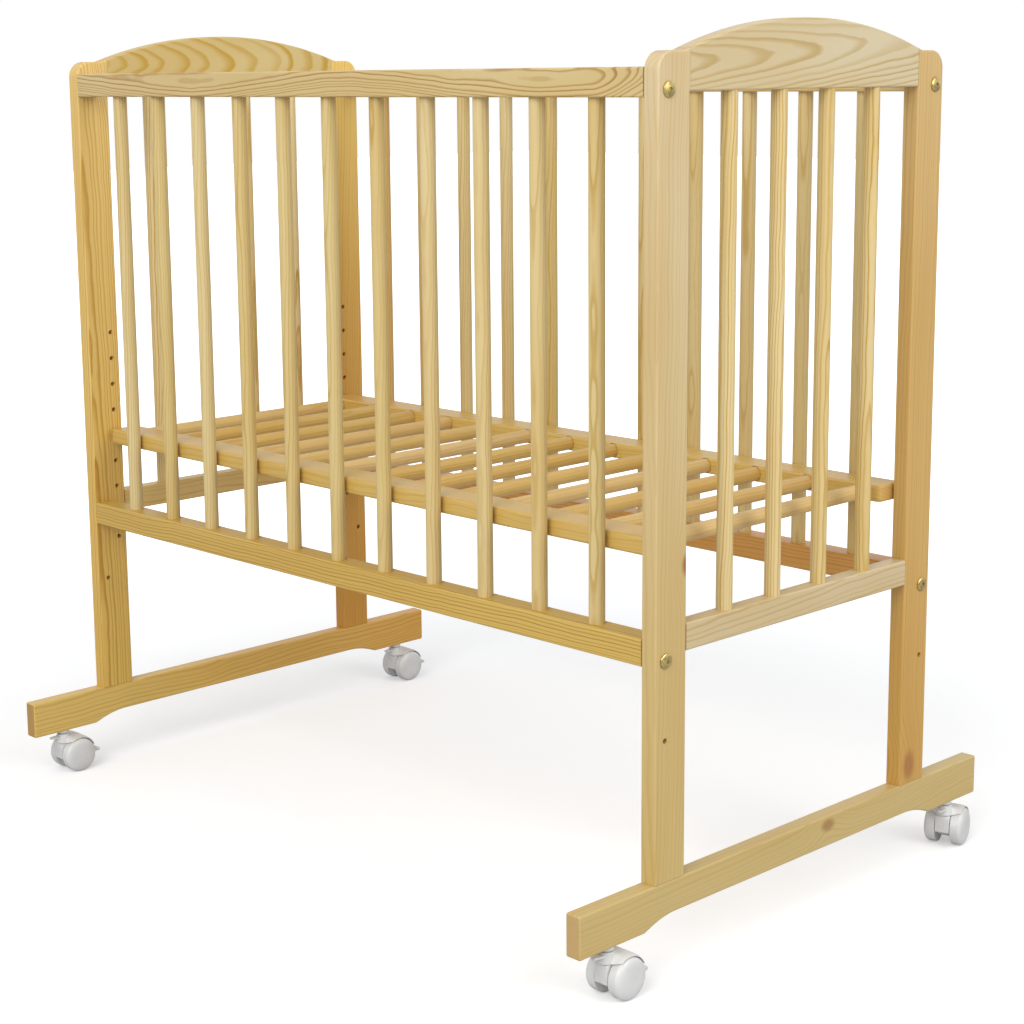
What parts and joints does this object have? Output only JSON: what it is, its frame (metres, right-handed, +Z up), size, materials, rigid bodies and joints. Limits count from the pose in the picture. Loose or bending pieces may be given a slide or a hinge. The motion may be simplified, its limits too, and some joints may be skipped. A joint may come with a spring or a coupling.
{
  "type": "bedside crib",
  "caption": "Pine bedside crib with arched end frames on castors, barred sides, a slatted mattress base on pegs and brass connector bolts.",
  "frame": {"origin": "on the floor under the middle of the crib", "axes": "+X along the long sides to the right end, +Y to the back long side, +Z up"},
  "size_m": [0.967, 0.6412, 0.8995],
  "materials": {
    "pine": "satin clear lacquer over pale pine",
    "brass": "polished brass plate",
    "steel": "bright zinc plate",
    "white_plastic": "white moulded nylon with a soft gloss"
  },
  "bodies": {
    "root": {"arch_rail_left": "pine", "low_rail_and_bars_left": "pine", "foot_left": "pine", "arch_rail_right": "pine", "low_rail_and_bars_right": "pine", "foot_right": "pine", "top_rail_front": "pine", "low_rail_and_bars_front": "pine", "top_rail_back": "pine", "low_rail_and_bars_back": "pine", "post_front_left": "pine", "base_peg_front_left": "steel", "bolt_top_front_left": "brass", "barrel_nut_top_front_left": "steel", "bolt_low_front_left": "brass", "barrel_nut_low_front_left": "steel", "post_front_right": "pine", "base_peg_front_right": "steel", "bolt_top_front_right": "brass", "barrel_nut_top_front_right": "steel", "bolt_low_front_right": "brass", "barrel_nut_low_front_right": "steel", "post_back_left": "pine", "base_peg_back_left": "steel", "bolt_top_back_left": "brass", "barrel_nut_top_back_left": "steel", "bolt_low_back_left": "brass", "barrel_nut_low_back_left": "steel", "post_back_right": "pine", "base_peg_back_right": "steel", "bolt_top_back_right": "brass", "barrel_nut_top_back_right": "steel", "bolt_low_back_right": "brass", "barrel_nut_low_back_right": "steel", "base_board_and_dowels_front": "pine", "base_board_back": "pine", "castor_front_left_stem": "white_plastic", "castor_front_right_stem": "white_plastic", "castor_back_left_stem": "white_plastic", "castor_back_right_stem": "white_plastic"},
    "castor_front_left": {"castor_front_left_housing": "white_plastic", "castor_front_left_axle": "steel"},
    "castor_front_left_wheel_left": {"castor_front_left_wheel_left": "white_plastic"},
    "castor_front_left_wheel_right": {"castor_front_left_wheel_right": "white_plastic"},
    "castor_front_left_brake_pedal": {"castor_front_left_brake_pedal": "white_plastic"},
    "castor_front_right": {"castor_front_right_housing": "white_plastic", "castor_front_right_axle": "steel"},
    "castor_front_right_wheel_left": {"castor_front_right_wheel_left": "white_plastic"},
    "castor_front_right_wheel_right": {"castor_front_right_wheel_right": "white_plastic"},
    "castor_front_right_brake_pedal": {"castor_front_right_brake_pedal": "white_plastic"},
    "castor_back_left": {"castor_back_left_housing": "white_plastic", "castor_back_left_axle": "steel"},
    "castor_back_left_wheel_left": {"castor_back_left_wheel_left": "white_plastic"},
    "castor_back_left_wheel_right": {"castor_back_left_wheel_right": "white_plastic"},
    "castor_back_left_brake_pedal": {"castor_back_left_brake_pedal": "white_plastic"},
    "castor_back_right": {"castor_back_right_housing": "white_plastic", "castor_back_right_axle": "steel"},
    "castor_back_right_wheel_left": {"castor_back_right_wheel_left": "white_plastic"},
    "castor_back_right_wheel_right": {"castor_back_right_wheel_right": "white_plastic"},
    "castor_back_right_brake_pedal": {"castor_back_right_brake_pedal": "white_plastic"}
  },
  "joints": [
    {"name": "castor_front_left_swivel", "type": "hinge", "parent": "root", "child": "castor_front_left", "pos_m": [-0.461, -0.275, 0.03], "axis": [0, 0, 1], "continuous": true},
    {"name": "castor_front_left_wheel_left_roll", "type": "hinge", "parent": "castor_front_left", "child": "castor_front_left_wheel_left", "pos_m": [-0.461, -0.262, 0.021], "axis": [1, 0, 0], "continuous": true},
    {"name": "castor_front_left_wheel_right_roll", "type": "hinge", "parent": "castor_front_left", "child": "castor_front_left_wheel_right", "pos_m": [-0.461, -0.262, 0.021], "axis": [1, 0, 0], "continuous": true},
    {"name": "castor_front_left_brake", "type": "hinge", "parent": "castor_front_left", "child": "castor_front_left_brake_pedal", "pos_m": [-0.461, -0.251, 0.024], "axis": [-1, 0, 0], "range_deg": [0, 12]},
    {"name": "castor_front_right_swivel", "type": "hinge", "parent": "root", "child": "castor_front_right", "pos_m": [0.461, -0.275, 0.03], "axis": [0, 0, 1], "continuous": true},
    {"name": "castor_front_right_wheel_left_roll", "type": "hinge", "parent": "castor_front_right", "child": "castor_front_right_wheel_left", "pos_m": [0.461, -0.262, 0.021], "axis": [1, 0, 0], "continuous": true},
    {"name": "castor_front_right_wheel_right_roll", "type": "hinge", "parent": "castor_front_right", "child": "castor_front_right_wheel_right", "pos_m": [0.461, -0.262, 0.021], "axis": [1, 0, 0], "continuous": true},
    {"name": "castor_front_right_brake", "type": "hinge", "parent": "castor_front_right", "child": "castor_front_right_brake_pedal", "pos_m": [0.461, -0.251, 0.024], "axis": [-1, 0, 0], "range_deg": [0, 12]},
    {"name": "castor_back_left_swivel", "type": "hinge", "parent": "root", "child": "castor_back_left", "pos_m": [-0.461, 0.275, 0.03], "axis": [0, 0, 1], "continuous": true},
    {"name": "castor_back_left_wheel_left_roll", "type": "hinge", "parent": "castor_back_left", "child": "castor_back_left_wheel_left", "pos_m": [-0.461, 0.288, 0.021], "axis": [1, 0, 0], "continuous": true},
    {"name": "castor_back_left_wheel_right_roll", "type": "hinge", "parent": "castor_back_left", "child": "castor_back_left_wheel_right", "pos_m": [-0.461, 0.288, 0.021], "axis": [1, 0, 0], "continuous": true},
    {"name": "castor_back_left_brake", "type": "hinge", "parent": "castor_back_left", "child": "castor_back_left_brake_pedal", "pos_m": [-0.461, 0.299, 0.024], "axis": [-1, 0, 0], "range_deg": [0, 12]},
    {"name": "castor_back_right_swivel", "type": "hinge", "parent": "root", "child": "castor_back_right", "pos_m": [0.461, 0.275, 0.03], "axis": [0, 0, 1], "continuous": true},
    {"name": "castor_back_right_wheel_left_roll", "type": "hinge", "parent": "castor_back_right", "child": "castor_back_right_wheel_left", "pos_m": [0.4572, 0.28743, 0.021], "axis": [0.9563, 0.2924, 0], "continuous": true},
    {"name": "castor_back_right_wheel_right_roll", "type": "hinge", "parent": "castor_back_right", "child": "castor_back_right_wheel_right", "pos_m": [0.4572, 0.28743, 0.021], "axis": [0.9563, 0.2924, 0], "continuous": true},
    {"name": "castor_back_right_brake", "type": "hinge", "parent": "castor_back_right", "child": "castor_back_right_brake_pedal", "pos_m": [0.45398, 0.29795, 0.024], "axis": [-0.9563, -0.2924, 0], "range_deg": [0, 12]}
  ]
}
